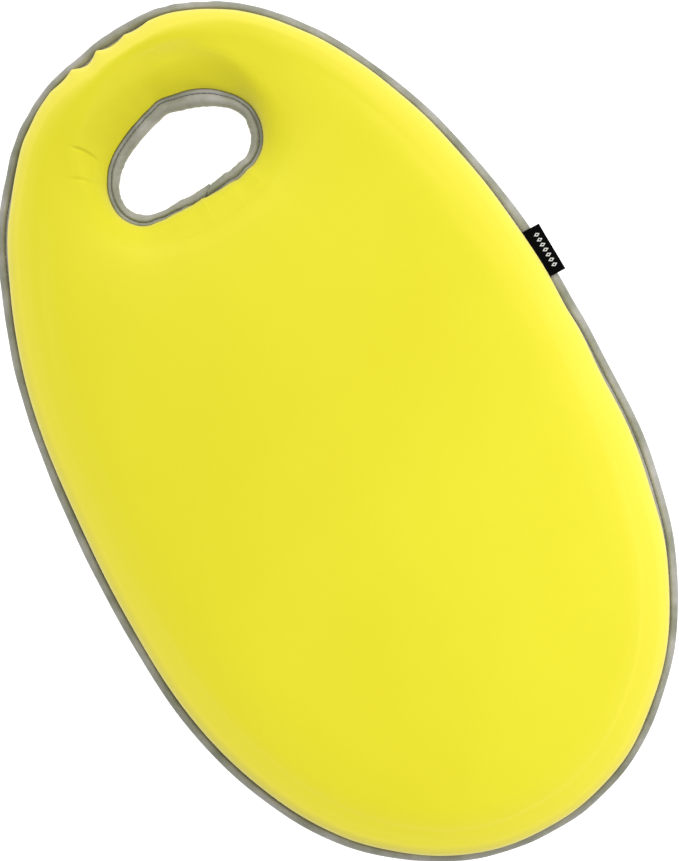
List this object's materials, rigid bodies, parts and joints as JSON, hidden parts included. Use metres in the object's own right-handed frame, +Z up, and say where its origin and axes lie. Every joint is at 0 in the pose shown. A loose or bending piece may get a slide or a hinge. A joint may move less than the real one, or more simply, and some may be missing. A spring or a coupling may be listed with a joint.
{
  "type": "garden kneeling cushion",
  "caption": "Oval garden kneeling cushion in a bound neoprene cover, with an oval hand-hole near its narrow end and a folded label sewn in at one side.",
  "frame": {"origin": "on the ground, under the middle of the pad", "axes": "+Y along the pad towards its narrow end and the hand-hole, +X across it towards the side with the label, +Z up"},
  "size_m": [0.2933, 0.48, 0.036],
  "materials": {
    "yellow_neoprene": "smooth knit-faced neoprene, soft matt",
    "grey_tape": "finely cross-ribbed knit binding tape, matt",
    "grey_thread": "twisted polyester sewing thread, matt",
    "black_label": "woven satin ribbon",
    "memory_foam": "open-cell foam, matt",
    "eva_foam": "closed-cell EVA foam, matt, fine skin"
  },
  "bodies": {
    "pad": {"top_cover": "yellow_neoprene", "bottom_cover": "yellow_neoprene", "memory_foam": "memory_foam", "eva_base": "eva_foam", "edge_binding": "grey_tape", "handle_binding": "grey_tape", "edge_needle_thread": "grey_thread", "edge_bobbin_thread": "grey_thread", "handle_needle_thread": "grey_thread", "handle_bobbin_thread": "grey_thread", "label_tail": "black_label"},
    "label": {"side_label": "black_label"}
  },
  "joints": [
    {"name": "label_flap", "type": "hinge", "parent": "pad", "child": "label", "pos_m": [0.1398, 0.0304, 0.01885], "axis": [0, -1, 0], "range_deg": [0, 75], "stiffness_Nm_per_rad": 0.00005}
  ]
}
